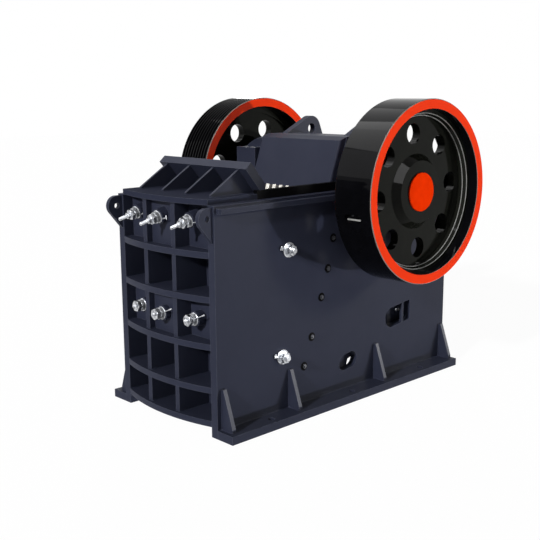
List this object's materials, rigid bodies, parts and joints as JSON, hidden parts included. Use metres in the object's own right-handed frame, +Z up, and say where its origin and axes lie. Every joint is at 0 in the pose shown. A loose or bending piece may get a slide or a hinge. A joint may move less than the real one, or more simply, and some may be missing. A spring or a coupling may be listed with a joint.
{
  "type": "jaw crusher",
  "caption": "Jaw crusher with ribbed plate frame, open feed mouth between toothed jaws, eccentric shaft, flywheel and grooved pulley on long anchor-bolt feet.",
  "frame": {"origin": "on the ground at the centre of the anchor-bolt rectangle, mid-width and mid-length of the feet", "axes": "+X along the eccentric shaft towards the plain flywheel, +Y from the fixed jaw at the front to the toggle at the rear, +Z up"},
  "size_m": [2.208, 2.8964, 2.383],
  "materials": {
    "slate_paint": "semi-gloss dark slate machine enamel",
    "wheel_enamel": "gloss black enamel, rim faces orange-red",
    "bright_steel": "zinc-plated and turned steel",
    "spring_steel": "oiled spring steel",
    "manganese_steel": "cast manganese steel with bright tooth tips",
    "liner_black": "black primed wear plate",
    "orange_paint": "gloss orange-red enamel",
    "bare_steel_plate": "rolled steel plate"
  },
  "bodies": {
    "frame": {"bearing_cover_left": "slate_paint", "bearing_cover_right": "slate_paint", "bearing_housing_left": "slate_paint", "bearing_housing_right": "slate_paint", "bolt_pads": "slate_paint", "cheek_plate_left": "liner_black", "cheek_plate_right": "liner_black", "fixed_jaw_plate": "manganese_steel", "foot_gussets": "slate_paint", "foot_left": "slate_paint", "foot_right": "slate_paint", "frame_eyes": "slate_paint", "front_ribs": "slate_paint", "front_wall": "slate_paint", "front_webs": "slate_paint", "head_eyes": "slate_paint", "head_guard_plate": "slate_paint", "hopper_fins": "slate_paint", "hopper_plate": "slate_paint", "jaw_bolts_lower": "bright_steel", "jaw_bolts_upper": "bright_steel", "moving_jaw": "slate_paint", "moving_jaw_head": "slate_paint", "moving_jaw_plate": "manganese_steel", "moving_jaw_ribs": "slate_paint", "rear_ribs": "slate_paint", "rear_wall": "slate_paint", "rear_webs": "slate_paint", "side_plate_left": "slate_paint", "side_plate_right": "slate_paint", "spring_seats": "bright_steel", "tension_rods": "bright_steel", "tension_springs": "spring_steel", "toggle_block": "slate_paint", "toggle_ledges": "slate_paint", "toggle_plate": "bare_steel_plate", "toggle_shims": "bare_steel_plate", "top_front_plate": "slate_paint", "top_rims": "slate_paint"},
    "rotor": {"eccentric_shaft": "bright_steel", "flywheel_disc": "wheel_enamel", "flywheel_rim": "wheel_enamel", "pulley_disc": "wheel_enamel", "pulley_rim": "wheel_enamel", "shaft_end_caps": "orange_paint"}
  },
  "joints": [
    {"name": "shaft_spin", "type": "hinge", "parent": "frame", "child": "rotor", "pos_m": [0, 0.3761, 1.672], "axis": [1, 0, 0], "continuous": true}
  ]
}
